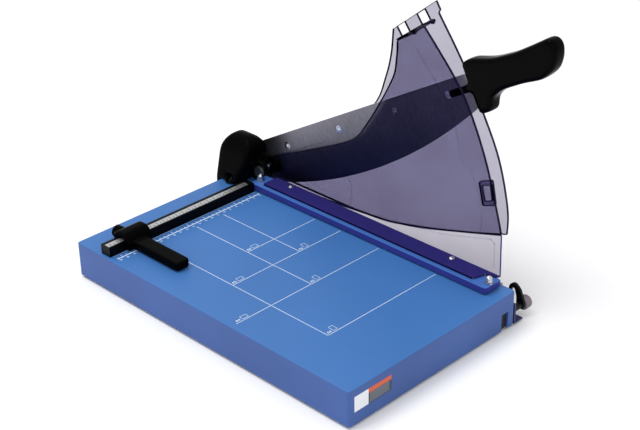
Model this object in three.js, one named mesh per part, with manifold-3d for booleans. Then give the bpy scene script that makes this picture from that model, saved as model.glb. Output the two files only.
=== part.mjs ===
// Lever-arm guillotine paper trimmer: a metal table with a guide rail, a spring-loaded clamp bar,
// a curved blade on a long arm, a tinted fan-shaped guard, a sliding back gauge and a safety hook.
// Millimetres, +Z up. The machine is modelled with its cut line at x = 0 (the blade is on the +X
// side), the front face of the guide rail at y = 0 and the table top at z = 0. The user stands on
// the -Y side. The whole group is then moved so that it stands centred on z = 0.
import * as THREE from 'three';
import { mergeVertices } from 'three/addons/utils/BufferGeometryUtils.js';
import Module from 'manifold-3d';

const wasm = await Module();
wasm.setup();

// ---------- driving dimensions ----------
const gap = 0.3; // clearance between pieces that touch
const table = { left: -270, right: -3.3, front: -384.4, rear: 60.4, height: 44, wall: 2.5, corner: 4 };
const foot = { radius: 9, height: 2.5, inset: 17, rightInset: 48, pegRadius: 3, pegLength: 8 };
const slot = { left: -26, right: -14.5, top: -22 };
const rail = { left: -266, right: -38, front: 1.7, rear: 17.7, height: 12.5 };
const inlay = { left: -264.5, right: -45, front: 4.2, rear: 12.2, thickness: 1.2 };
const knife = { depth: 18, front: -364, rear: 2 };
const beam = { flangeOut: 12.5, flangeThickness: 2, webFace: -0.5, front: -384.4, rear: 30 };
const pivot = { y: 18, z: 14, shaftRadius: 6.5 };
const liftedAngle = THREE.MathUtils.degToRad(29.3); // arm above the table as modelled
const blade = { near: 0.3, far: 3, top: 35.5, tip: 383.5, tail: -25 };
const edgeArc = { s: 167, t: 667, radius: 705 }; // cutting edge, in arm coordinates
const bar = { near: 3.3, far: 12.6, tip: 402 };
const bladeScrewStations = [56, 158.7, 261.4, 350];
const bladeScrewRise = 19.7;
const handle = { near: -2.9, far: 17.1, start: 384 };
const clamp = { left: -36.1, right: -9, front: -368, rear: 10, lift: 1.6, thickness: 8.3 };
const clampStuds = [-362.5, 5];
const studX = -23.5;
const shield = { left: -30.9, near: -7, thickness: 2.2, wall: 2.5, front: -364, rear: -8 };
const shieldScrews = [-301, -40];
const guard = { near: -7, wall: 2.5, farNear: 14, radius: 376 };
const gauge = { left: -243, right: -207 };
const latch = { y: -376, z: -31.5, near: 17.8, thickness: 3, knobRadius: 8 };
const bossSize = 22;
const bodyCentre = { x: -118.75, y: -172.74 }; // middle of the whole machine's outline

// ---------- materials ----------
const paint = (color, roughness, metalness = 0) => new THREE.MeshStandardMaterial({ color, roughness, metalness });
const tinted = (color) => new THREE.MeshStandardMaterial({ color, roughness: 0.15, transparent: true, opacity: 0.55 });
const bluePaint = paint(0x3f72b8, 0.45);
const blackPaint = paint(0x161617, 0.45);
const barPaint = paint(0x5b5d63, 0.45, 1);
const clampPaint = paint(0x33419a, 0.4);
const darkPaint = paint(0x1d2a5c, 0.5);
const blackPlastic = paint(0x111112, 0.35);
const gripPlastic = paint(0x0b0b0c, 0.2);
const greyPlastic = paint(0x6f6670, 0.5);
const rubber = paint(0x1b1b1c, 0.9);
const groundSteel = paint(0x83858c, 0.35, 1);
const plainSteel = paint(0x9a9ca3, 0.4, 1);
const chrome = paint(0xd5d7dc, 0.12, 1);
const bronze = paint(0xa67a3c, 0.4, 1);
const aluminium = paint(0xbfc1c4, 0.4, 1);
const smokeGuard = tinted(0x5c557c);
const clearGuard = tinted(0xa9a2b8);
const violetGuard = tinted(0x352a80);

// ---------- geometry helpers ----------
function toSolid(geometry) {
  const bare = geometry.index ? geometry.toNonIndexed() : geometry.clone();
  bare.deleteAttribute('normal');
  bare.deleteAttribute('uv');
  const welded = mergeVertices(bare, 1e-4);
  return new wasm.Manifold(new wasm.Mesh({
    numProp: 3,
    vertProperties: new Float32Array(welded.attributes.position.array),
    triVerts: new Uint32Array(welded.index.array),
  }));
}

function toGeometry(solid) {
  const mesh = solid.getMesh();
  const geometry = new THREE.BufferGeometry();
  geometry.setAttribute('position', new THREE.BufferAttribute(new Float32Array(mesh.vertProperties), 3));
  geometry.setIndex(new THREE.BufferAttribute(new Uint32Array(mesh.triVerts), 1));
  geometry.computeVertexNormals();
  return geometry;
}

function combine(base, { add = [], cut = [], keep = [] }) {
  let solid = toSolid(base);
  for (const piece of add) solid = solid.add(toSolid(piece));
  for (const piece of keep) solid = solid.intersect(toSolid(piece));
  for (const piece of cut) solid = solid.subtract(toSolid(piece));
  return toGeometry(solid);
}

function block(x0, x1, y0, y1, z0, z1) {
  return new THREE.BoxGeometry(x1 - x0, y1 - y0, z1 - z0)
    .translate((x0 + x1) / 2, (y0 + y1) / 2, (z0 + z1) / 2);
}

// A cylinder along one axis, from one station to another, centred on the other two coordinates.
function rod(axis, a, b, radius, from, to, sides = 16) {
  const geometry = new THREE.CylinderGeometry(radius, radius, to - from, sides);
  const middle = (from + to) / 2;
  if (axis === 'x') return geometry.rotateZ(-Math.PI / 2).translate(middle, a, b);
  if (axis === 'y') return geometry.translate(a, middle, b);
  return geometry.rotateX(Math.PI / 2).translate(a, b, middle);
}

// An outline through points. A point may carry a third value, the radius that rounds its corner.
function outline(points) {
  const shape = new THREE.Shape();
  const count = points.length;
  points.forEach(([u, v, radius = 0], i) => {
    const here = new THREE.Vector2(u, v);
    if (radius === 0) {
      if (i === 0) shape.moveTo(u, v);
      else shape.lineTo(u, v);
      return;
    }
    const before = new THREE.Vector2(...points[(i + count - 1) % count]).sub(here);
    const after = new THREE.Vector2(...points[(i + 1) % count]).sub(here);
    const reach = Math.min(radius, 0.48 * before.length(), 0.48 * after.length());
    const from = here.clone().add(before.setLength(reach));
    const to = here.clone().add(after.setLength(reach));
    if (i === 0) shape.moveTo(from.x, from.y);
    else shape.lineTo(from.x, from.y);
    shape.quadraticCurveTo(u, v, to.x, to.y);
  });
  shape.closePath();
  return shape;
}

// Extrude an outline. 'side' outlines hold (y, z) and run along x, 'plan' ones hold (x, y) and run
// along z, 'face' ones hold (x, z) and run along y. 'arm' outlines hold arm coordinates.
const planes = {
  side: new THREE.Matrix4().makeBasis(
    new THREE.Vector3(0, 1, 0), new THREE.Vector3(0, 0, 1), new THREE.Vector3(1, 0, 0)),
  plan: new THREE.Matrix4(),
  face: new THREE.Matrix4().makeBasis(
    new THREE.Vector3(1, 0, 0), new THREE.Vector3(0, 0, 1), new THREE.Vector3(0, -1, 0)),
  arm: new THREE.Matrix4(),
};

function slab(plane, shape, from, to, { bevel = 0, bevelSteps = 2, curveSteps = 5 } = {}) {
  const reversed = plane === 'face' || plane === 'arm';
  const start = reversed ? -to : from;
  const geometry = new THREE.ExtrudeGeometry(shape, {
    depth: to - from - 2 * bevel,
    curveSegments: curveSteps,
    bevelEnabled: bevel > 0,
    bevelThickness: bevel,
    bevelSize: bevel,
    bevelOffset: -bevel,
    bevelSegments: bevelSteps,
  });
  return geometry.translate(0, 0, start + bevel).applyMatrix4(planes[plane]);
}

// ---------- the assembly ----------
const machine = new THREE.Group();
const arm = new THREE.Group(); // arm coordinates: s forward along the arm, t above it, w = -x
machine.add(arm);

function place(name, geometry, material, parent = machine) {
  const mesh = new THREE.Mesh(geometry, material);
  mesh.name = name;
  parent.add(mesh);
}

// ---------- base ----------
function footSpots() {
  const { left, right, front, rear } = table;
  const xs = [left + foot.inset, right - foot.rightInset]; // the right pair clears the clamp studs
  const ys = [front + foot.inset, rear - foot.inset];
  return xs.flatMap((x) => ys.map((y) => [x, y]));
}

function roundedPlan(left, right, front, rear, radius) {
  return outline([[left, front, radius], [right, front, radius], [right, rear, radius], [left, rear, radius]]);
}

function buildBase() {
  const { left, right, front, rear, height, wall, corner } = table;
  const shell = slab('plan', roundedPlan(left, right, front, rear, corner), -height, 0, { bevel: 1.2 });
  const hollow = block(left + wall, right - wall, front + wall, rear - wall, -height - 1, -wall);
  const bosses = footSpots().map(([x, y]) => {
    const half = bossSize / 2;
    return block(x - half, x + half, y - half, y + half, -height + 0.5, -wall + 0.5);
  });
  const pegHoles = footSpots().map(([x, y]) => (
    rod('z', x, y, foot.pegRadius + gap, -height - 1, -height + foot.pegLength + 1)));
  const studHoles = clampStuds.map((y) => rod('z', studX, y, 3.6, -wall - 1, 1));
  const railHoles = railScrewSpots.map((x) => rod('z', x, railScrewY, 2.4, -wall - 1, 1));
  const knifeHoles = knifeScrewSpots.map((y) => rod('x', y, knifeScrewZ, 2.4, right - wall - 1, right + 1));
  const bracketHoles = bracketScrewSpots.map(([x, y]) => rod('z', x, y, 2.5, -9, 1));
  const coverHole = rod('z', coverScrew.x, coverScrew.y, 1.9, -8, 1);
  const frontSlot = block(slot.left, slot.right, front - 1, front + wall + 1, -height - 1, slot.top);
  const box = toGeometry(toSolid(shell).subtract(toSolid(hollow)));
  const cut = [...pegHoles, ...studHoles, ...railHoles, ...knifeHoles, ...bracketHoles, coverHole, frontSlot];
  place('base_shell', combine(box, { add: bosses, cut }), bluePaint);
}

function buildFeet() {
  const bottom = -table.height - foot.height;
  footSpots().forEach(([x, y], i) => {
    const pad = rod('z', x, y, foot.radius, bottom, -table.height - gap, 28);
    const peg = rod('z', x, y, foot.pegRadius, -table.height - 1, -table.height + foot.pegLength);
    place(`foot_${i + 1}`, combine(pad, { add: [peg] }), rubber);
  });
}

// ---------- fixed knife and its beam ----------
const knifeScrewSpots = [-340, -230, -120, -20];
const knifeScrewZ = -10;

function buildKnife() {
  const face = table.right + gap;
  const body = block(face, 0, knife.front, knife.rear, -knife.depth, 0);
  const cut = knifeScrewSpots.map((y) => rod('x', y, knifeScrewZ, 2.1, face - 1, -0.9));
  place('bed_knife', combine(body, { cut }), groundSteel);
  knifeScrewSpots.forEach((y, i) => {
    const inner = table.right - table.wall - gap;
    const shank = rod('x', y, knifeScrewZ, 1.8, inner - 1, -1.2, 16);
    const head = rod('x', y, knifeScrewZ, 3.8, inner - 3.5, inner, 14);
    const socket = rod('x', y, knifeScrewZ, 1.6, inner - 4, inner - 1.8, 6);
    place(`knife_screw_${i + 1}`, combine(head, { add: [shank], cut: [socket] }), plainSteel);
  });
}

function buildBeam() {
  const face = table.right + gap;
  const bottom = -table.height;
  const web = block(face, beam.webFace, beam.front, beam.rear, bottom, -knife.depth - gap);
  const flange = block(face, beam.flangeOut, beam.front, beam.rear, bottom, bottom + beam.flangeThickness);
  const hole = rod('x', latch.y, latch.z, 2.4, face - 1, beam.webFace + 1);
  place('knife_beam', combine(web, { add: [flange], cut: [hole] }), darkPaint);
}

// ---------- guide rail ----------
const railScrewSpots = [-240, -152, -64];
const railScrewY = 9.7;

function buildRail() {
  const { left, right, front, rear, height } = rail;
  const profile = outline([[front, gap], [rear, gap], [rear, height, 0.8], [front, height, 0.8]]);
  const body = slab('side', profile, left, right);
  const groove = block(inlay.left - gap, inlay.right + gap, inlay.front - gap, inlay.rear + gap,
    height - inlay.thickness - gap, height + 1);
  const holes = railScrewSpots.map((x) => rod('z', x, railScrewY, 2.1, -1, 8.5));
  place('guide_rail', combine(body, { cut: [groove, ...holes] }), blackPlastic);
  const strip = block(inlay.left, inlay.right, inlay.front, inlay.rear, height - inlay.thickness, height);
  place('rail_inlay', strip, aluminium);
  railScrewSpots.forEach((x, i) => {
    const under = -table.wall - gap;
    const shank = rod('z', x, railScrewY, 1.8, under - 1, 8, 16);
    const head = rod('z', x, railScrewY, 3.8, under - 3, under, 14);
    const socket = rod('z', x, railScrewY, 1.6, under - 4, under - 1.6, 6);
    place(`rail_screw_${i + 1}`, combine(head, { add: [shank], cut: [socket] }), plainSteel);
  });
}

// ---------- pivot bracket, shaft and cover ----------
const bracketScrewSpots = [[-20, 40], [-20, 52]];
const coverScrew = { x: -39.5, y: 43 };
const lug = { near: -4.2, far: -0.6 };
const guardScrew = { y: 4, z: 26 };

function buildBracket() {
  const footPlate = slab('plan', outline([[-26, 35, 3], [-12, 35], [-12, 24], [-3.6, 24],
    [-3.6, 57, 3], [-26, 57, 3]]), gap, 6);
  const upright = slab('side', outline([[24, 5], [50, 5], [40, 30, 6], [24, 32, 6]]), -12, lug.far);
  const eye = rod('x', pivot.y, pivot.z, 12.5, lug.near, lug.far, 28);
  const ear = slab('side', outline([[-7, 16, 5], [28, 16], [28, 35, 5], [-7, 35, 5]]), lug.near, lug.far);
  const rearEye = rod('x', pivot.y + 3, pivot.z + 1, 12, -12, lug.near + 1, 28);
  const clampRoom = block(-13, lug.near, -8, 11, -1, 28);
  const shaftHole = rod('x', pivot.y, pivot.z, pivot.shaftRadius + gap, -40, 2, 28);
  const guardHole = rod('x', guardScrew.y, guardScrew.z, 2.1, lug.near - 1, lug.far + 1);
  const screwHoles = bracketScrewSpots.map(([x, y]) => rod('z', x, y, 2.4, -1, 9));
  place('pivot_bracket', combine(footPlate, {
    add: [upright, eye, ear, rearEye],
    cut: [clampRoom, shaftHole, guardHole, ...screwHoles],
  }), blackPaint);
  bracketScrewSpots.forEach(([x, y], i) => {
    const shank = rod('z', x, y, 2.1, -7, 7, 16);
    const head = rod('z', x, y, 4.2, 6 + gap, 10, 14);
    const socket = rod('z', x, y, 1.9, 8, 11, 6);
    place(`bracket_screw_${i + 1}`, combine(head, { add: [shank], cut: [socket] }), plainSteel);
  });
}

function buildShaft() {
  const far = guard.farNear + guard.wall;
  const shaft = rod('x', pivot.y, pivot.z, pivot.shaftRadius, -14, far + 8, 28);
  const head = rod('x', pivot.y, pivot.z, 7.6, -15.5, -12 - gap, 28);
  place('pivot_shaft', combine(shaft, { add: [head] }), groundSteel);
  const bore = rod('x', pivot.y, pivot.z, pivot.shaftRadius + gap, -20, far + 20, 28);
  const washer = rod('x', pivot.y, pivot.z, 12, bar.far + gap, guard.farNear - gap, 16);
  place('pivot_washer', combine(washer, { cut: [bore] }), plainSteel);
  const nut = rod('x', pivot.y, pivot.z, 11, far + gap, far + 6.5, 6);
  const collar = rod('x', pivot.y, pivot.z, 12.5, far + gap, far + 1.6, 16);
  place('pivot_nut', combine(nut, { add: [collar], cut: [bore] }), chrome);
}

// The cover is a hood: its side outline crossed with its front outline. It is hollow, and open
// below and towards the arm.
const cover = { left: -44, right: -1.5, front: 12, rear: 70, top: 64, hang: -34, wall: 2.4 };

function hood(inset) {
  const { left, right, front, rear, top } = cover;
  const deep = -60; // well below the table
  const side = outline([[front + 18 + inset, deep], [front + 18 + inset, 2], [front + 2 + inset, 32, 6],
    [front + inset, 54 - inset, 10], [22, top - inset, 8], [rear - 18 - inset, top + 1 - inset, 14],
    [rear - 5 - inset, top - 16, 14], [rear - inset, 0], [rear - inset, deep]]);
  const openRight = right + 2 * inset;
  const ends = outline([[left + inset, deep], [left + inset, 0], [left + 6 + inset, top - 15, 14],
    [left + 17 + inset, top + 1 - inset, 14], [-12, top - inset, 12], [openRight, 56 - inset, 10], [openRight, deep]]);
  return combine(slab('side', side, -60, 10), { keep: [slab('face', ends, -10, 110)] });
}

function buildCover() {
  const { x, y } = coverScrew;
  const behindWall = table.rear + 0.4;
  const overTable = block(-70, 20, -20, behindWall, -80, gap);
  const below = block(-70, 20, -20, 120, -80, cover.hang);
  const outer = combine(hood(0), { cut: [overTable, below] });
  const column = combine(rod('z', x, y, 9.5, gap, 15, 28), { keep: [hood(0)] });
  const ear = rod('z', x, y, 9.5, gap, 5, 28);
  const screwRoom = rod('z', x, y, 6.5, 3, 12, 28);
  const screwHole = rod('z', x, y, 1.9, -1, 4);
  const bracketRoom = block(-16.5, 2, -2, 34, -1, 38);
  const shell = combine(outer, { cut: [hood(cover.wall)] });
  place('pivot_cover', combine(shell, { add: [column, ear], cut: [screwRoom, screwHole, bracketRoom] }), blackPlastic);
  const shank = rod('z', x, y, 1.6, -6, 3.6, 16);
  const head = rod('z', x, y, 3.4, 3 + gap, 5.6, 16);
  const socket = rod('z', x, y, 1.3, 4.4, 6, 6);
  place('cover_screw', combine(head, { add: [shank], cut: [socket] }), chrome);
}

// ---------- fan guard ----------
// The near plate ends above a curved seam; the plate below the seam rides on the clamp bar.
const seam = [[-140, 0], [-186, 3], [-217, 8], [-278, 23], [-363, 48]];
const seamHeight = 14.2;

function curve(shape, points) {
  shape.splineThru(points.map(([u, v]) => new THREE.Vector2(u, v)));
}

function buildNearPlate() {
  const base = seamHeight + 0.8;
  const raised = seam.map(([y, z]) => [y, z + base]);
  const shape = new THREE.Shape();
  shape.moveTo(6, base);
  shape.lineTo(...raised[0]);
  curve(shape, raised.slice(1));
  curve(shape, [[-354, 94], [-337, 145], [-314, 194], [-291, 227.5], [-246, 275.5]]);
  shape.lineTo(-208, 248);
  curve(shape, [[-207, 228], [-200, 199], [-162, 134], [-134, 104], [-60, 67], [0, 40]]);
  shape.quadraticCurveTo(11, 35, 11, 26);
  shape.quadraticCurveTo(11, base, 6, base);
  const near = slab('side', shape, guard.near, guard.near + guard.wall, { curveSteps: 5 });
  const bridgeShape = outline([[-246, 275.5], [-208, 248], [-206.5, 250], [-244.5, 277.5]]);
  const bridge = slab('side', bridgeShape, guard.near + 1, guard.farNear - gap);
  const screwHole = rod('x', guardScrew.y, guardScrew.z, 2.1, guard.near - 1, guard.near + 4);
  place('guard_near_plate', combine(near, { add: [bridge], cut: [screwHole] }), smokeGuard);
  const shank = rod('x', guardScrew.y, guardScrew.z, 1.8, guard.near - 1, lug.far - gap, 16);
  const head = rod('x', guardScrew.y, guardScrew.z, 3.6, guard.near - 3, guard.near - gap, 16);
  const socket = rod('x', guardScrew.y, guardScrew.z, 1.5, guard.near - 4, guard.near - 1.6, 6);
  place('guard_screw', combine(head, { add: [shank], cut: [socket] }), chrome);
}

function buildFarPlate() {
  const shape = new THREE.Shape();
  shape.moveTo(18, -6);
  shape.lineTo(-60, -5);
  curve(shape, [[-129, -1], [-198, 7], [-260, 22], [-355, 52]]);
  curve(shape, [[-354, 84], [-339, 139], [-313, 190], [-285, 236], [-249, 285]]);
  shape.lineTo(-251, 289);
  shape.lineTo(-245, 298);
  shape.lineTo(-183, 250);
  curve(shape, [[-180, 219], [-172, 189], [-156, 152], [-110, 102], [-26, 50], [22, 36]]);
  shape.quadraticCurveTo(40, 32, 40, 14);
  shape.quadraticCurveTo(40, -6, 18, -6);
  const plate = slab('side', shape, guard.farNear, guard.farNear + guard.wall, { curveSteps: 5 });
  const windows = [[-198.5, 253.5], [-227.5, 275]].map(([y, z]) => (
    new THREE.BoxGeometry(10, 14, 13).rotateX(Math.atan2(-48, 62)).translate(guard.farNear, y, z)));
  const bore = rod('x', pivot.y, pivot.z, pivot.shaftRadius + gap, 0, 30, 28);
  const bridgeHoles = bridgeScrewSpots.map(([y, z]) => rod('x', y, z, 1.5, 10, 20, 16));
  place('guard_far_plate', combine(plate, { cut: [...windows, bore, ...bridgeHoles] }), clearGuard);
}

const bridgeScrewSpots = [[-213, 253.2], [-239, 272]];

function buildBridgeScrews() {
  const far = guard.farNear + guard.wall;
  bridgeScrewSpots.forEach(([y, z], i) => {
    const shank = rod('x', y, z, 1.2, guard.farNear + 0.1, far + 1, 12);
    const head = rod('x', y, z, 3, far + gap, far + 2.2, 14);
    place(`bridge_screw_${i + 1}`, combine(head, { add: [shank] }), chrome);
  });
}

function buildGuardClip() {
  const frame = outline([[-331, 119, 3], [-350, 127, 3], [-356, 98, 3], [-338, 91, 3]]);
  const clip = slab('side', frame, guard.near - 2.8, guard.near - gap);
  const windowShape = outline([[-336, 115], [-347, 119.5], [-350.5, 102], [-340.5, 98]]);
  const opening = slab('side', windowShape, guard.near - 4, guard.near + 1);
  place('guard_clip', combine(clip, { cut: [opening] }), violetGuard);
}

// ---------- arm: blade, bar, bush, screws, handle ----------
function armRod(s, t, radius, x0, x1, sides = 16) {
  return rod('z', s, t, radius, -x1, -x0, sides);
}

function edgeHeight(s) {
  return edgeArc.t - Math.sqrt(edgeArc.radius ** 2 - (s - edgeArc.s) ** 2);
}

function buildBlade() {
  const edgeStart = -10;
  const angleAt = (s) => Math.atan2(edgeHeight(s) - edgeArc.t, s - edgeArc.s);
  const shape = new THREE.Shape();
  shape.moveTo(blade.tip, blade.top);
  shape.lineTo(-12, blade.top);
  shape.quadraticCurveTo(blade.tail, blade.top, blade.tail, 14);
  shape.lineTo(blade.tail, -4);
  shape.quadraticCurveTo(blade.tail, edgeHeight(edgeStart), edgeStart, edgeHeight(edgeStart));
  shape.absarc(edgeArc.s, edgeArc.t, edgeArc.radius, angleAt(edgeStart), angleAt(blade.tip), false);
  const plate = slab('arm', shape, blade.near, blade.far, { curveSteps: 36 });
  const hub = armRod(0, 0, hubRadius + gap, -5, 20, 28);
  const sinks = bladeScrewStations.map((s) => armRod(s, bladeScrewRise, 5, -5, 20, 28));
  place('blade', combine(plate, { cut: [hub, ...sinks] }), groundSteel, arm);
}

const hubRadius = 9.5;
const handleScrewRises = [10, 27];
const handleScrewStation = 393;

function buildBar() {
  const shape = outline([[bar.tip, 34], [-23, 34, 14], [-26, -20, 14], [25, -24, 10], [130, -10, 20], [bar.tip, 3]]);
  const body = slab('arm', shape, bar.near, bar.far, { bevel: 0.8, bevelSteps: 1 });
  const hub = armRod(0, 0, hubRadius + gap, -5, 20, 28);
  const bladeHoles = bladeScrewStations.map((s) => armRod(s, bladeScrewRise, 3.2, -5, 11, 14));
  const handleHoles = handleScrewRises.map((t) => armRod(handleScrewStation, t, 2.4, 5, 20, 14));
  place('arm_bar', combine(body, { cut: [hub, ...bladeHoles, ...handleHoles] }), barPaint, arm);
  const bush = armRod(0, 0, hubRadius, blade.near, bar.far, 28);
  const bore = armRod(0, 0, pivot.shaftRadius + gap, -5, 20, 28);
  place('arm_bush', combine(bush, { cut: [bore] }), bronze, arm);
  bladeScrewStations.forEach((s, i) => {
    const head = armRod(s, bladeScrewRise, 4.7, blade.near + 0.1, blade.far, 28);
    const shank = armRod(s, bladeScrewRise, 2.9, blade.far - 1, 10.6, 14);
    const socket = armRod(s, bladeScrewRise, 2.3, -1, 2.2, 6);
    place(`blade_screw_${i + 1}`, combine(head, { add: [shank], cut: [socket] }), chrome, arm);
  });
}

function buildHandle() {
  const { near, far, start } = handle;
  const shape = outline([[start, 48, 4], [397, 50, 6], [424, 42.5, 12], [458, 40.5, 8], [484, 42, 8],
    [509, 44, 8], [514.5, 34, 6], [510, 22, 6], [500, 10, 8], [482, 4.5, 8], [455, 7, 8], [424, 7, 8],
    [408, 1.5, 6], [401, -11.5, 4], [start, -11.5, 4]]);
  const body = slab('arm', shape, near, far, { bevel: 3, bevelSteps: 2, curveSteps: 4 });
  const tongue = slab('arm', outline([[352, 14, 3], [352, 25, 3], [400, 25], [400, 14]]), near + 0.2, 0);
  const pocket = slab('arm', outline([[start - 10, 1.6], [bar.tip + gap, 1.6], [bar.tip + gap, 34.4],
    [start - 10, 34.4]]), bar.near - gap, bar.far + gap);
  const screwHoles = handleScrewRises.flatMap((t) => [
    armRod(handleScrewStation, t, 2.4, 8, 30, 14),
    armRod(handleScrewStation, t, 4.6, far - 3.5, far + 5, 16),
  ]);
  place('handle', combine(body, { add: [tongue], cut: [pocket, ...screwHoles] }), gripPlastic, arm);
  handleScrewRises.forEach((t, i) => {
    const head = armRod(handleScrewStation, t, 4.2, far - 3.5 + gap, far, 16);
    const shank = armRod(handleScrewStation, t, 2.1, 6, far - 3, 12);
    const socket = armRod(handleScrewStation, t, 1.8, far - 1, far + 2, 6);
    place(`handle_screw_${i + 1}`, combine(head, { add: [shank], cut: [socket] }), plainSteel, arm);
  });
}

// ---------- clamp bar and the guard strip on it ----------
const crossbar = { bottom: -27, thickness: 3 };
const clampTop = clamp.lift + clamp.thickness;

function buildClamp() {
  const { left, right, front, rear } = clamp;
  const plan = outline([[left, front, 5], [right, front, 2], [right, rear, 2], [left, rear, 4]]);
  const body = slab('plan', plan, clamp.lift, clampTop, { bevel: 0.6, bevelSteps: 1 });
  const studHoles = clampStuds.map((y) => rod('z', studX, y, 2.9, -1, 14));
  const screwHoles = shieldScrews.map((y) => rod('z', shieldScrewX, y, 1.9, clamp.lift + 1.6, 20, 16));
  place('clamp_bar', combine(body, { cut: [...studHoles, ...screwHoles] }), clampPaint);

  const crossTop = crossbar.bottom + crossbar.thickness;
  const cross = slab('plan', roundedPlan(studX - 6, studX + 6, front - 1, rear + 2, 3), crossbar.bottom, crossTop);
  const crossHoles = clampStuds.map((y) => rod('z', studX, y, 2.9, -40, 0));
  place('clamp_crossbar', combine(cross, { cut: crossHoles }), plainSteel);

  clampStuds.forEach((y, i) => {
    const n = i + 1;
    const stud = rod('z', studX, y, 2.6, crossbar.bottom - 1, clampTop + 5.4, 14);
    const studHead = rod('z', studX, y, 4.6, crossbar.bottom - 4, crossbar.bottom - gap, 6);
    place(`clamp_stud_${n}`, combine(stud, { add: [studHead] }), plainSteel);
    const washer = rod('z', studX, y, 5.2, clampTop + gap, clampTop + 1.5, 28);
    const washerBore = rod('z', studX, y, 2.9, 0, 30);
    place(`clamp_washer_${n}`, combine(washer, { cut: [washerBore] }), chrome);
    const nutBase = clampTop + 1.5 + gap;
    const hex = rod('z', studX, y, 4.3, nutBase, nutBase + 3, 6);
    const dome = new THREE.SphereGeometry(3.7, 16, 10).translate(studX, y, nutBase + 3.6);
    const nutBore = rod('z', studX, y, 2.9, 0, clampTop + 5.7);
    place(`clamp_nut_${n}`, combine(hex, { add: [dome], cut: [nutBore] }), chrome);
    place(`clamp_spring_${n}`, springCoil(studX, y, crossTop + gap, -table.wall - gap), plainSteel);
  });
}

// A compression spring round a stud: a square-section wire is close enough for a hidden spring.
class Helix extends THREE.Curve {
  constructor(x, y, radius, bottom, top, turns) {
    super();
    Object.assign(this, { x, y, radius, bottom, top, turns });
  }

  getPoint(u) {
    const angle = 2 * Math.PI * this.turns * u;
    return new THREE.Vector3(this.x + this.radius * Math.cos(angle), this.y + this.radius * Math.sin(angle),
      this.bottom + (this.top - this.bottom) * u);
  }
}

function springCoil(x, y, bottom, top) {
  const wire = 0.7;
  const turns = 5;
  const section = new THREE.Shape();
  section.absarc(0, 0, wire, 0, 2 * Math.PI, false);
  const path = new Helix(x, y, 5, bottom + wire, top - wire, turns);
  return new THREE.ExtrudeGeometry(section, { steps: turns * 10, extrudePath: path, curveSegments: 3 });
}

const shieldScrewX = -14;

function buildShield() {
  const { left, near, thickness, wall, front, rear } = shield;
  const bottom = clampTop + gap;
  const top = bottom + thickness;
  const outer = near + wall;
  const flange = slab('plan', outline([[left, rear, 2], [left, -345, 3], [-14, -350, 3], [-10, front, 3],
    [outer, front], [outer, rear]]), bottom, top);
  const raised = seam.map(([y, z]) => [y, z + seamHeight]);
  const shape = new THREE.Shape();
  shape.moveTo(rear, bottom + 0.5);
  shape.lineTo(rear, seamHeight);
  shape.lineTo(...raised[0]);
  curve(shape, raised.slice(1));
  shape.lineTo(front, bottom + 0.5);
  shape.closePath();
  const upright = slab('side', shape, near, outer, { curveSteps: 5 });
  const holes = shieldScrews.map((y) => rod('z', shieldScrewX, y, 1.9, 0, 30, 16));
  place('lower_guard', combine(flange, { add: [upright], cut: holes }), violetGuard);
  shieldScrews.forEach((y, i) => {
    const shank = rod('z', shieldScrewX, y, 1.6, clamp.lift + 2, top + 1, 16);
    const head = new THREE.SphereGeometry(3.4, 14, 8).scale(1, 1, 0.7).translate(shieldScrewX, y, top + gap);
    const flat = block(shieldScrewX - 5, shieldScrewX + 5, y - 5, y + 5, top - 5, top + gap);
    const dome = combine(head, { cut: [flat] });
    place(`shield_screw_${i + 1}`, combine(dome, { add: [shank] }), chrome);
  });
}

// ---------- back gauge ----------
function buildGauge() {
  const { left, right } = gauge;
  const lift = 1.5;
  const knobZ = 9.6;
  const knobX = left + 13;
  const saddleShape = outline([[-5, lift], [24, lift], [24, 15, 4], [17, 21, 5], [2, 21, 8], [-5, 12, 3]]);
  const saddle = slab('side', saddleShape, left, right, { bevel: 0.8, bevelSteps: 1, curveSteps: 4 });
  const tongue = slab('plan', outline([[left + 7, -83, 5], [right - 9, -83, 5], [right - 9, 0], [left + 7, 0]]),
    lift, 12, { bevel: 1.2 });
  const channel = block(left - 1, right + 1, rail.front - gap, rail.rear + gap, -1, rail.height + gap);
  const screwHole = rod('y', knobX, knobZ, 3.1, 10, 30);
  place('gauge_body', combine(saddle, { add: [tongue], cut: [channel, screwHole] }), blackPlastic);
  const shank = rod('y', knobX, knobZ, 2.7, rail.rear + gap + 0.1, 26, 14);
  const grip = rod('y', knobX, knobZ, 8, 24 + gap, 34, 18);
  place('gauge_knob', combine(grip, { add: [shank] }), blackPlastic);
}

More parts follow.
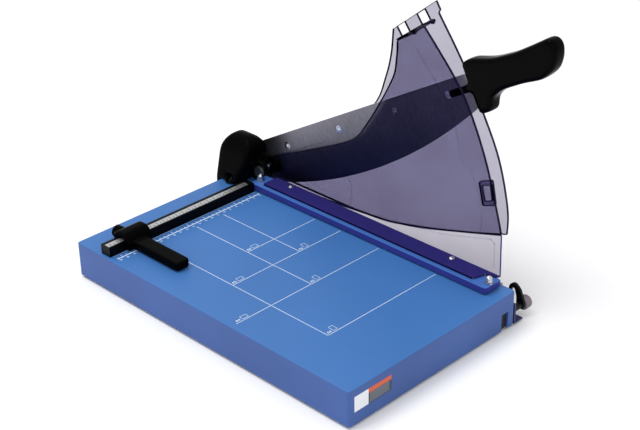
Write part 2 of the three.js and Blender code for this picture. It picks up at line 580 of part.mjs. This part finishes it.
// ---------- safety latch ----------
function buildLatch() {
  const { y, z, near, thickness, knobRadius } = latch;
  const far = near + thickness;
  const shape = outline([[y - 4.5, z - 5, 3], [y - 6, z + 3, 4], [y + 1.5, z + 20, 4], [y + 9.5, z + 25.5, 5],
    [y + 16, z + 21, 4], [y + 17, z + 13], [y + 13.5, z + 13], [y + 12, z + 18.5, 2], [y + 8.5, z + 18, 3],
    [y + 5.5, z + 8, 3], [y + 5.5, z - 5, 3]]);
  const hook = slab('side', shape, near, far);
  const hole = rod('x', y, z, 3.3, near - 1, far + 1);
  place('latch_hook', combine(hook, { cut: [hole] }), blackPaint);
  const knobFar = far + 9;
  const knobBody = rod('x', y, z, knobRadius, far + gap, knobFar, 24);
  const knobEnd = new THREE.SphereGeometry(knobRadius, 24, 8).scale(0.35, 1, 1).translate(knobFar - 0.1, y, z);
  const knobBore = rod('x', y, z, 3.3, far - 1, knobFar - 2);
  place('latch_knob', combine(knobBody, { add: [knobEnd], cut: [knobBore] }), greyPlastic);
  const stud = rod('x', y, z, 3, near - 2, knobFar - 2.4);
  const collar = rod('x', y, z, 4, beam.webFace + gap, near - gap);
  const shank = rod('x', y, z, 2.1, table.right + 2 * gap, beam.webFace + 1);
  place('latch_stud', combine(stud, { add: [collar, shank] }), blackPaint);
}

// ---------- build everything ----------
buildBase();
buildFeet();
buildKnife();
buildBeam();
buildRail();
buildBracket();
buildShaft();
buildCover();
buildNearPlate();
buildFarPlate();
buildBridgeScrews();
buildGuardClip();
buildBlade();
buildBar();
buildHandle();
buildClamp();
buildShield();
buildGauge();
buildLatch();

const cos = Math.cos(liftedAngle);
const sin = Math.sin(liftedAngle);
arm.applyMatrix4(new THREE.Matrix4().makeBasis(
  new THREE.Vector3(0, -cos, sin), new THREE.Vector3(0, sin, cos), new THREE.Vector3(-1, 0, 0)));
arm.position.set(0, pivot.y, pivot.z);
machine.position.set(-bodyCentre.x, -bodyCentre.y, table.height + foot.height);

export default machine;
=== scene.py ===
import math
import bmesh
import bpy
from mathutils import Matrix, Vector


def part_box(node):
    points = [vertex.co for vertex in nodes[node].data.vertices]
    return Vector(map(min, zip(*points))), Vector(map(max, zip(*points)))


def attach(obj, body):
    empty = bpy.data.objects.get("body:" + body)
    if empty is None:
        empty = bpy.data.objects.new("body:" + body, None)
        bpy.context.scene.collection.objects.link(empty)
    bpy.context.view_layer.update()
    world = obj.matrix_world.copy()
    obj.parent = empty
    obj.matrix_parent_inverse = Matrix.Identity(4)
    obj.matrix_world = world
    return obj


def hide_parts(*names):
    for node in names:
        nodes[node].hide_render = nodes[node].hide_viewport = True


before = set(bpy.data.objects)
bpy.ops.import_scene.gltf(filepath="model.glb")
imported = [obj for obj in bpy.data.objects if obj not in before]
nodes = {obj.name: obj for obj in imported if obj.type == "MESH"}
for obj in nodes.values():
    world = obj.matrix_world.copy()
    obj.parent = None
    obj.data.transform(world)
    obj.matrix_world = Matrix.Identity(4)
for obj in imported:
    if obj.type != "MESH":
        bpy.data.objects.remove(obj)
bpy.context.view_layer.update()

# the machine's own marks: cut line (x), front of the rail (y), table top (z)
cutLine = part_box("base_shell")[1].x + 0.0033
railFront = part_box("guide_rail")[0].y - 0.0017
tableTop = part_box("base_shell")[1].z


def at(x, y, z):  # millimetres from those marks
    return Vector((cutLine + x / 1000, railFront + y / 1000, tableTop + z / 1000))


def screen(r, g, b):  # 0 to 255, as a colour picker shows it
    def straight(v):
        v = v / 255
        return v / 12.92 if v <= 0.04045 else ((v + 0.055) / 1.055) ** 2.4
    return (straight(r), straight(g), straight(b), 1.0)


# camera
cameraPlace = {  # millimetres and degrees; heading turns from the rear towards the right
    "x": -1095.6, "y": -1179.2, "z": 814.3, "heading": 44.824, "down": 28.205, "roll": -1.017,
    "lens": 79.5, "sensor": 36, "farthest": 60,
}


def makeCamera(place):
    data = bpy.data.cameras.new("camera")
    camera = bpy.data.objects.new("camera", data)
    bpy.context.scene.collection.objects.link(camera)
    data.sensor_width = place["sensor"]
    data.lens = place["lens"]
    data.clip_end = place["farthest"]
    turn = Matrix.Rotation(math.radians(-place["heading"]), 4, "Z")
    turn = turn @ Matrix.Rotation(math.radians(90 - place["down"]), 4, "X")
    turn = turn @ Matrix.Rotation(math.radians(place["roll"]), 4, "Z")
    camera.matrix_world = Matrix.Translation(at(place["x"], place["y"], place["z"])) @ turn
    bpy.context.scene.camera = camera


makeCamera(cameraPlace)
print("camera placed")


# finishes
def startFinish(name):
    finish = bpy.data.materials.new(name)
    finish.use_nodes = True
    tree = finish.node_tree
    return finish, tree, tree.nodes["Principled BSDF"]


def addNode(tree, kind, **inputs):
    node = tree.nodes.new(kind)
    for key, value in inputs.items():
        node.inputs[key].default_value = value
    return node


def stretchedNoise(tree, scale, stretch=(1, 1, 1), detail=3.0, tilt=0):
    place = addNode(tree, "ShaderNodeTexCoord")
    mapping = tree.nodes.new("ShaderNodeMapping")
    mapping.vector_type = "TEXTURE"  # turns first, then scales
    mapping.inputs["Rotation"].default_value = (math.radians(tilt), 0, 0)
    mapping.inputs["Scale"].default_value = [1 / v for v in stretch]
    noise = addNode(tree, "ShaderNodeTexNoise", Scale=scale, Detail=detail)
    tree.links.new(place.outputs["Object"], mapping.inputs["Vector"])
    tree.links.new(mapping.outputs["Vector"], noise.inputs["Vector"])
    return noise.outputs["Fac"]


def ramp(tree, source, low, high):
    node = tree.nodes.new("ShaderNodeValToRGB")
    ends = node.color_ramp.elements
    ends[0].position, ends[0].color = 0.35, low
    ends[1].position, ends[1].color = 0.65, high
    tree.links.new(source, node.inputs["Fac"])
    return node.outputs["Color"]


def shade(colour, factor):
    return tuple(min(1.0, v * factor) for v in colour[:3]) + (1.0,)


def spread(tree, source, low, high):
    node = addNode(tree, "ShaderNodeMapRange", **{"To Min": low, "To Max": high})
    tree.links.new(source, node.inputs["Value"])
    return node.outputs["Result"]


def addRelief(tree, shader, source, strength, depth):
    bump = addNode(tree, "ShaderNodeBump", Strength=strength, Distance=depth)
    tree.links.new(source, bump.inputs["Height"])
    tree.links.new(bump.outputs["Normal"], shader.inputs["Normal"])


def varyRoughness(tree, shader, source, low, high):
    tree.links.new(spread(tree, source, low, high), shader.inputs["Roughness"])


def paintFinish(name, colour, roughness, variation=0.05, specular=0.4):
    finish, tree, shader = startFinish(name)
    cloud = stretchedNoise(tree, 22)
    tone = ramp(tree, cloud, shade(colour, 1 - variation), shade(colour, 1 + variation))
    tree.links.new(tone, shader.inputs["Base Color"])
    varyRoughness(tree, shader, stretchedNoise(tree, 160), roughness - 0.05, roughness + 0.05)
    shader.inputs["Specular IOR Level"].default_value = specular
    addRelief(tree, shader, stretchedNoise(tree, 1400, detail=2), 0.12, 0.0001)  # orange peel
    return finish


def plasticFinish(name, colour, roughness, specular=0.1, grain=2600, depth=0.00006):
    finish, tree, shader = startFinish(name)
    cloud = stretchedNoise(tree, 40)
    tone = ramp(tree, cloud, shade(colour, 0.85), shade(colour, 1.15))
    tree.links.new(tone, shader.inputs["Base Color"])
    varyRoughness(tree, shader, stretchedNoise(tree, 220), roughness - 0.04, roughness + 0.07)
    shader.inputs["Specular IOR Level"].default_value = specular
    addRelief(tree, shader, stretchedNoise(tree, grain, detail=1), 0.15, depth)
    return finish


def metalFinish(name, colour, roughness, stretch=(1, 1, 1), scale=120, contrast=0.12,
                depth=0.00003, tilt=0):
    finish, tree, shader = startFinish(name)
    grain = stretchedNoise(tree, scale, stretch, 4, tilt)
    tone = ramp(tree, grain, shade(colour, 1 - contrast), shade(colour, 1 + contrast))
    tree.links.new(tone, shader.inputs["Base Color"])
    varyRoughness(tree, shader, grain, roughness - 0.06, roughness + 0.08)
    shader.inputs["Metallic"].default_value = 1.0
    addRelief(tree, shader, grain, 0.1, depth)
    return finish


guardSheet = {"facesFrom": 0.5, "facesFull": 0.8, "edgeThrough": 0.1, "ior": 1.02}


# tinted clear sheet that stands across x; its cut edges are darker and denser than its faces
def guardFinish(name, tint, edgeTint, alpha=1.0):
    finish, tree, shader = startFinish(name)
    limits = {"From Min": guardSheet["facesFrom"], "From Max": guardSheet["facesFull"]}
    place = addNode(tree, "ShaderNodeTexCoord")
    axes = addNode(tree, "ShaderNodeSeparateXYZ")
    side = addNode(tree, "ShaderNodeMath")
    side.operation = "ABSOLUTE"
    tree.links.new(place.outputs["Normal"], axes.inputs[0])
    tree.links.new(axes.outputs["X"], side.inputs[0])
    cloud = stretchedNoise(tree, 14, detail=2)
    tone = ramp(tree, cloud, shade(tint, 0.96), shade(tint, 1.04))
    edge = addNode(tree, "ShaderNodeMapRange", **limits)
    tree.links.new(side.outputs[0], edge.inputs["Value"])
    blend = addNode(tree, "ShaderNodeMix")
    blend.data_type = "RGBA"
    blend.inputs["A"].default_value = edgeTint
    tree.links.new(edge.outputs["Result"], blend.inputs["Factor"])
    tree.links.new(tone, blend.inputs["B"])
    tree.links.new(blend.outputs["Result"], shader.inputs["Base Color"])
    through = addNode(tree, "ShaderNodeMapRange", **limits, **{"To Min": guardSheet["edgeThrough"]})
    tree.links.new(side.outputs[0], through.inputs["Value"])
    tree.links.new(through.outputs["Result"], shader.inputs["Transmission Weight"])
    shader.inputs["Roughness"].default_value = 0.0
    shader.inputs["IOR"].default_value = guardSheet["ior"]
    shader.inputs["Alpha"].default_value = alpha
    return finish


# one paint with painted light: faces at the top level are painted lighter as if lit, and the walls below
# are painted darker as shade
def twoToneFinish(name, top, wall, level, roughness):
    finish, tree, shader = startFinish(name)
    place = addNode(tree, "ShaderNodeTexCoord")
    axes = addNode(tree, "ShaderNodeSeparateXYZ")
    tree.links.new(place.outputs["Object"], axes.inputs[0])
    # painted light: this mask picks the top level for the lighter, lit tone
    limits = {"From Min": level - 0.0009, "From Max": level - 0.0001}
    litTopMask = addNode(tree, "ShaderNodeMapRange", **limits)
    tree.links.new(axes.outputs["Z"], litTopMask.inputs["Value"])
    cloud = stretchedNoise(tree, 9)
    litTopTone = ramp(tree, cloud, shade(top, 0.97), shade(top, 1.03))
    shadedWallTone = ramp(tree, cloud, shade(wall, 0.93), shade(wall, 1.07))
    blend = addNode(tree, "ShaderNodeMix")
    blend.data_type = "RGBA"
    tree.links.new(litTopMask.outputs["Result"], blend.inputs["Factor"])
    tree.links.new(shadedWallTone, blend.inputs["A"])
    tree.links.new(litTopTone, blend.inputs["B"])
    tree.links.new(blend.outputs["Result"], shader.inputs["Base Color"])
    varyRoughness(tree, shader, stretchedNoise(tree, 150), roughness - 0.06, roughness + 0.06)
    shader.inputs["Specular IOR Level"].default_value = 0.25
    addRelief(tree, shader, stretchedNoise(tree, 1500, detail=2), 0.12, 0.0001)
    return finish


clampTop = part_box("clamp_bar")[1].z
# painted shade: the base walls and the clamp's side face are given a darker colour than the tops
bluePaint = twoToneFinish("bluePaint", screen(60, 110, 174), screen(60, 90, 152), tableTop, 0.46)
clampPaint = twoToneFinish("clampPaint", screen(60, 104, 178), screen(44, 50, 128), clampTop, 0.4)
beamPaint = paintFinish("beamPaint", screen(40, 44, 92), 0.5)
blackPaint = paintFinish("blackPaint", screen(10, 10, 11), 0.36, 0.15, 0.2)
railBlack = metalFinish("railBlack", screen(16, 16, 18), 0.45, (3, 60, 60), 40, 0.25)
coverBlack = plasticFinish("coverBlack", screen(4, 4, 5), 0.34, 0.016)
gripBlack = plasticFinish("gripBlack", screen(3, 3, 3), 0.14, 0.03, 900, 0.00002)
gaugeBlack = plasticFinish("gaugeBlack", screen(3, 3, 4), 0.22, 0.016)
knobGrey = plasticFinish("knobGrey", screen(118, 108, 116), 0.55)
footRubber = plasticFinish("footRubber", screen(30, 30, 31), 0.85, 0.2, 1200, 0.0002)
bladeSteel = metalFinish("bladeSteel", screen(132, 129, 136), 0.36, (1, 60, 6), 30, 0.2, tilt=-29.3)
knifeSteel = metalFinish("knifeSteel", screen(150, 152, 160), 0.32, (1, 2, 90), 60, 0.12)
barSteel = metalFinish("barSteel", screen(96, 97, 104), 0.42, (1, 4, 90), 30, 0.16, tilt=-29.3)
plainSteel = metalFinish("plainSteel", screen(160, 162, 168), 0.4)
brightSteel = metalFinish("brightSteel", screen(196, 198, 204), 0.12, scale=400, contrast=0.04)
bushBronze = metalFinish("bushBronze", screen(168, 122, 62), 0.35)
inlaySilver = metalFinish("inlaySilver", screen(196, 198, 200), 0.42, (2, 90, 90), 40, 0.06)
# black for printed marks, also used as painted shade on the notch block
blackPrintAndShade = paintFinish("blackPrintAndShade", screen(30, 30, 32), 0.5, 0.1, 0.2)
stickerWhite = paintFinish("stickerWhite", screen(226, 228, 234), 0.35, 0.02)
stickerDark = paintFinish("stickerDark", screen(44, 48, 62), 0.35, 0.08)
stickerOrange = paintFinish("stickerOrange", screen(206, 84, 42), 0.35, 0.04)
stickerGrey = paintFinish("stickerGrey", screen(138, 144, 152), 0.4, 0.06)
whitePrint = paintFinish("whitePrint", screen(214, 226, 240), 0.55, 0.03, 0.2)
greyPrint = paintFinish("greyPrint", screen(150, 176, 214), 0.55, 0.03, 0.2)
smokeGuard = guardFinish("smokeGuard", (0.335, 0.325, 0.46, 1), screen(54, 49, 86))
clearGuard = guardFinish("clearGuard", (0.48, 0.46, 0.54, 1), screen(74, 69, 104))
guardRim = guardFinish("guardRim", (0.3, 0.28, 0.4, 1), screen(34, 31, 54))
violetGuard = guardFinish("violetGuard", (0.6, 0.58, 0.65, 1), screen(47, 43, 110))
guardRidge = guardFinish("guardRidge", (0.8, 0.8, 0.88, 1), screen(70, 66, 96), 0.6)

finishOf = {
    "base_shell": bluePaint, "clamp_bar": clampPaint, "knife_beam": beamPaint, "pivot_bracket": blackPaint,
    "latch_hook": blackPaint, "latch_stud": blackPaint, "guide_rail": railBlack, "rail_inlay": inlaySilver,
    "pivot_cover": coverBlack, "handle": gripBlack, "gauge_body": gaugeBlack, "gauge_knob": gaugeBlack,
    "latch_knob": knobGrey, "foot": footRubber, "blade": bladeSteel, "bed_knife": knifeSteel,
    "arm_bar": barSteel, "arm_bush": bushBronze, "pivot_shaft": plainSteel, "pivot_washer": plainSteel,
    "pivot_nut": brightSteel, "cover_screw": brightSteel, "guard_screw": brightSteel,
    "bridge_screw": brightSteel, "blade_screw": brightSteel, "shield_screw": brightSteel,
    "clamp_washer": brightSteel, "clamp_nut": brightSteel, "clamp_stud": plainSteel,
    "clamp_crossbar": plainSteel, "clamp_spring": plainSteel, "knife_screw": plainSteel,
    "rail_screw": plainSteel, "bracket_screw": plainSteel, "handle_screw": plainSteel,
    "guard_near_plate": smokeGuard, "guard_far_plate": clearGuard, "guard_clip": smokeGuard,
    "lower_guard": violetGuard,
}


def dressNodes():
    for name, node in nodes.items():
        stem = name.rstrip("0123456789").rstrip("_")
        finish = finishOf.get(name) or finishOf[stem]
        for slot in node.material_slots:
            slot.material = finish


dressNodes()
print("finishes ready")


# helpers for new pieces
def newPiece(name, shape, finish, body, smooth=False):
    mesh = bpy.data.meshes.new(name)
    shape.to_mesh(mesh)
    shape.free()
    mesh.materials.append(finish)
    for face in mesh.polygons:
        face.use_smooth = smooth
    piece = bpy.data.objects.new(name, mesh)
    bpy.context.scene.collection.objects.link(piece)
    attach(piece, body)
    return piece


def bakeModifiers(piece):
    graph = bpy.context.evaluated_depsgraph_get()
    done = bpy.data.meshes.new_from_object(piece.evaluated_get(graph))
    piece.modifiers.clear()
    piece.data = done


# a rounded copy of a CAD node, which it replaces; voxel in metres
def softened(nodeName, newName, body, voxel, passes):
    shape = bmesh.new()
    shape.from_mesh(nodes[nodeName].data)
    bmesh.ops.remove_doubles(shape, verts=shape.verts, dist=1e-6)
    piece = newPiece(newName, shape, finishOf[nodeName], body, True)
    remesh = piece.modifiers.new("remesh", "REMESH")
    remesh.mode = "VOXEL"
    remesh.voxel_size = voxel
    remesh.use_smooth_shade = True
    relax = piece.modifiers.new("relax", "SMOOTH")
    relax.factor = 0.5
    relax.iterations = passes
    bakeModifiers(piece)
    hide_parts(nodeName)


def addBlock(shape, low, high):
    middle = (low + high) / 2
    size = high - low
    place = Matrix.Translation(middle) @ Matrix.Diagonal((*size, 1))
    bmesh.ops.create_cube(shape, size=1, matrix=place)


# moulded pieces
softened("handle", "gripMoulded", "arm", 0.0011, 60)
softened("pivot_cover", "coverMoulded", "base", 0.0009, 192)
softened("gauge_body", "gaugeMoulded", "gauge", 0.0006, 26)
softened("gauge_knob", "gaugeKnobMoulded", "gauge_knob", 0.0005, 5)
softened("latch_knob", "latchKnobMoulded", "latch", 0.0005, 6)
print("moulded pieces made")

# print on the table
tablePrint = {  # millimetres
    "height": 0.05, "line": 0.7, "label": 5.2, "number": 3.4, "right": -37,
    "iconLong": 9, "iconShort": 6, "iconLine": 0.5, "scaleLeft": -262,
}
lengthLines = [(-105, -15, -148), (-148, -15, -210), (-210, -15, -297)]  # x, rear y, front y
crossLines = [(-105, -148), (-148, -210), (-210, -261), (-297, -210)]  # y, left x
labels = [("A6", -148, -105, True), ("A6", -105, -148, False), ("A5", -210, -148, True),
          ("A5", -148, -210, False), ("A4", -261, -210, True), ("A4", -210, -297, False)]


def printBlock(shape, left, right, front, rear):
    addBlock(shape, at(left, front, 0.005), at(right, rear, tablePrint["height"]))


def printText(shape, words, size, x, y):
    curve = bpy.data.curves.new("printText", "FONT")
    curve.body = words
    curve.size = size / 1000
    curve.align_x = "CENTER"
    curve.extrude = 0.00001
    curve.offset = 0.00006
    holder = bpy.data.objects.new("printText", curve)
    bpy.context.scene.collection.objects.link(holder)
    graph = bpy.context.evaluated_depsgraph_get()
    mesh = bpy.data.meshes.new_from_object(holder.evaluated_get(graph))
    mesh.transform(Matrix.Translation(at(x, y, 0.04)))
    shape.from_mesh(mesh)
    bpy.data.objects.remove(holder)
    bpy.data.curves.remove(curve)
    bpy.data.meshes.remove(mesh)


def makeGrid():
    shape = bmesh.new()
    half = tablePrint["line"] / 2
    for x, rear, front in lengthLines:
        printBlock(shape, x - half, x + half, front - half, rear)
    for y, left in crossLines:
        printBlock(shape, left - half, tablePrint["right"], y - half, y + half)
    for words, x, y, wide in labels:
        printText(shape, words, tablePrint["label"], x + 5.5, y + 2)
        across = tablePrint["iconLong"] if wide else tablePrint["iconShort"]
        deep = tablePrint["iconShort"] if wide else tablePrint["iconLong"]
        left, front = x + 11, y + 2
        thin = tablePrint["iconLine"]
        printBlock(shape, left, left + across, front, front + thin)
        printBlock(shape, left, left + across, front + deep - thin, front + deep)
        printBlock(shape, left, left + thin, front, front + deep)
        printBlock(shape, left + across - thin, left + across, front, front + deep)
    newPiece("paperLines", shape, whitePrint, "base")


def makeScale():
    shape = bmesh.new()
    printBlock(shape, tablePrint["scaleLeft"], tablePrint["right"], -7.6, -6.4)
    for tick in range(6, 42):  # quarter inches
        x = -25.4 * tick / 4
        tall = 5.4 if tick % 4 == 0 else 2.4
        if x > tablePrint["scaleLeft"]:
            printBlock(shape, x - 0.3, x + 0.3, -6.4, -6.4 + tall)
    for half in range(8, 53):  # half centimetres
        x = -5 * half
        reach = 1.8 if half % 2 == 0 else 1.1
        printBlock(shape, x - 0.25, x + 0.25, -7.6 - reach, -7.6)
    for number in range(4, 27):  # centimetres
        printText(shape, str(number), tablePrint["number"], -10 * number, -12.4)
    newPiece("railScale", shape, whitePrint, "base")
    edge = bmesh.new()
    printBlock(edge, tablePrint["scaleLeft"], tablePrint["right"], 0.4, 1.2)
    newPiece("scaleEdge", edge, greyPrint, "base")


def makeInlayMarks():
    shape = bmesh.new()
    low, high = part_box("rail_inlay")
    for step in range(8, 53):
        x = at(-5 * step, 0, 0).x
        deep = 0.0046 if step % 2 == 0 else 0.0026
        addBlock(shape, Vector((x - 0.0004, low.y + 0.0012, high.z + 0.00001)),
                 Vector((x + 0.0004, low.y + 0.0012 + deep, high.z + 0.00006)))
    newPiece("inlayMarks", shape, blackPrintAndShade, "base")


makeGrid()
makeScale()
makeInlayMarks()
print("table print made")

# plain sticker on the front wall
sticker = {
    "left": -262, "middle": -241.4, "right": -207.2, "bottom": -28, "top": -9.5, "bandFrom": -15,
    "wallFace": -384.4, "rowsAt": (-26.2, -23.8, -21.4, -19, -16.8), "rowTall": 0.8,
}


def wallPanel(name, boxes, finish, layer):
    shape = bmesh.new()
    face = sticker["wallFace"] - 0.06 * layer
    for left, right, bottom, top in boxes:
        addBlock(shape, at(left, face - 0.06, bottom), at(right, face, top))
    newPiece(name, shape, finish, "base")


def makeSticker():
    s = sticker
    wallPanel("stickerWhite", [(s["left"], s["middle"], s["bottom"], s["top"])], stickerWhite, 0)
    wallPanel("stickerDark", [(s["middle"], s["right"], s["bottom"], s["bandFrom"])], stickerDark, 0)
    wallPanel("stickerBand", [(s["middle"], s["right"], s["bandFrom"], s["top"])], stickerOrange, 0)
    rows = [(s["middle"] + 2, s["right"] - 3, z, z + s["rowTall"]) for z in s["rowsAt"]]
    wallPanel("stickerRows", rows, stickerGrey, 1)


makeSticker()


# painted shade: a black block seen through the notch in the front wall, standing in for the shade inside
# the base
slotShadeBlock = {"low": (-30, -381.8, -43), "high": (-8, -379.6, -17), "round": 0.0006}


def makeSlotBacking():
    shape = bmesh.new()
    addBlock(shape, at(*slotShadeBlock["low"]), at(*slotShadeBlock["high"]))
    bmesh.ops.bevel(shape, geom=list(shape.edges), offset=slotShadeBlock["round"], segments=2,
                    profile=0.5, affect="EDGES", material=-1)
    newPiece("slotShadeBlock", shape, blackPrintAndShade, "base")


makeSlotBacking()

# moulded lines in the guard
guardLines = {  # y, z
    "arc": [(-233, 252), (-246, 236), (-264, 218), (-282, 193), (-296, 170), (-304, 134),
            (-318, 130), (-333, 97), (-336, 74), (-335, 54)],
    "upright": [(-131, 55), (-136, 50), (-139, 44), (-138, 28), (-136, 18)],
    "shoulder": [(-10, 46), (-29, 54), (-59, 71), (-95, 90)],
    "skirt": [(-150, 17), (-186, 20), (-217, 25), (-278, 33), (-350, 53), (-355, 50), (-356, 20)],
}
guardLine = {"x": -7.12, "wide": 1.6, "thick": 0.15}


def addStrip(shape, points):
    for (y0, z0), (y1, z1) in zip(points, points[1:]):
        start, end = at(guardLine["x"], y0, z0), at(guardLine["x"], y1, z1)
        along = end - start
        wide, thick = guardLine["wide"] / 1000, guardLine["thick"] / 1000
        turn = Matrix.Rotation(math.atan2(along.z, along.y), 4, "X")
        size = Matrix.Diagonal((thick, along.length + wide, wide, 1))
        place = Matrix.Translation((start + end) / 2) @ turn @ size
        bmesh.ops.create_cube(shape, size=1, matrix=place)


def makeGuardLines():
    for name, points in guardLines.items():
        shape = bmesh.new()
        addStrip(shape, points)
        body, slotName = ("clamp", "violet_guard") if name == "skirt" else ("base", "smoke_guard")
        newPiece("guardRidge_" + name, shape, guardRidge, body)


# node: body, slot, width of its rim in millimetres
guardRims = {
    "guard_near_plate": ("base", "smoke_guard", 0.6),
    "guard_far_plate": ("base", "clear_guard", 0.5),
    "guard_clip": ("base", "violet_guard", 0.5),
}


def guardRimOf(nodeName, body, wide):
    shape = bmesh.new()
    shape.from_mesh(nodes[nodeName].data)
    bmesh.ops.remove_doubles(shape, verts=shape.verts, dist=1e-6)
    shape.normal_update()
    flats = [face for face in shape.faces if abs(face.normal.x) > 0.5 or face.normal.length < 0.5]
    bmesh.ops.delete(shape, geom=flats, context="FACES")
    middle = sum((v.co.x for v in shape.verts), 0.0) / len(shape.verts)
    for v in shape.verts:  # stands a little proud of both faces
        v.co.x += 0.00012 if v.co.x > middle else -0.00012
    piece = newPiece(nodeName + "_rim", shape, guardRim, body)
    wall = piece.modifiers.new("wall", "SOLIDIFY")
    wall.thickness = wide / 1000
    wall.offset = -1
    bakeModifiers(piece)


makeGuardLines()
for rimNode, (rimBody, rimSlot, rimWide) in guardRims.items():
    guardRimOf(rimNode, rimBody, rimWide)
print("sticker and guard lines made")

# floor and light
floorFinish, _, floorShader = startFinish("studioFloor")
floorShader.inputs["Base Color"].default_value = (0.93, 0.93, 0.94, 1)
floorShader.inputs["Roughness"].default_value = 0.8
floorShader.inputs["Specular IOR Level"].default_value = 0.1
floorShape = bmesh.new()
bmesh.ops.create_grid(floorShape, x_segments=1, y_segments=1, size=12)
floorMesh = bpy.data.meshes.new("studioFloor")
floorShape.to_mesh(floorMesh)
floorShape.free()
floorMesh.materials.append(floorFinish)
floor = bpy.data.objects.new("studioFloor", floorMesh)
bpy.context.scene.collection.objects.link(floor)

studio = {"world": 0.85, "key": 24, "keySize": 1.2, "fill": 8, "fillSize": 1.4}
world = bpy.data.worlds.new("studio")
world.use_nodes = True
world.node_tree.nodes["Background"].inputs["Color"].default_value = (1, 1, 1, 1)
world.node_tree.nodes["Background"].inputs["Strength"].default_value = studio["world"]
bpy.context.scene.world = world
bpy.context.scene.view_settings.view_transform = "Standard"


def addLamp(name, place, target, size, power):
    data = bpy.data.lights.new(name, "AREA")
    data.shape = "SQUARE"
    data.size = size
    data.energy = power
    lamp = bpy.data.objects.new(name, data)
    lamp.location = place
    lamp.rotation_euler = (target - place).to_track_quat("-Z", "Y").to_euler()
    bpy.context.scene.collection.objects.link(lamp)


lampTarget = Vector((0, 0, 0.1))
addLamp("keyLamp", Vector((-0.6, 0.5, 2.2)), lampTarget, studio["keySize"], studio["key"])
addLamp("fillLamp", Vector((-1.8, -1.2, 1.2)), lampTarget, studio["fillSize"], studio["fill"])
print("floor and light placed")
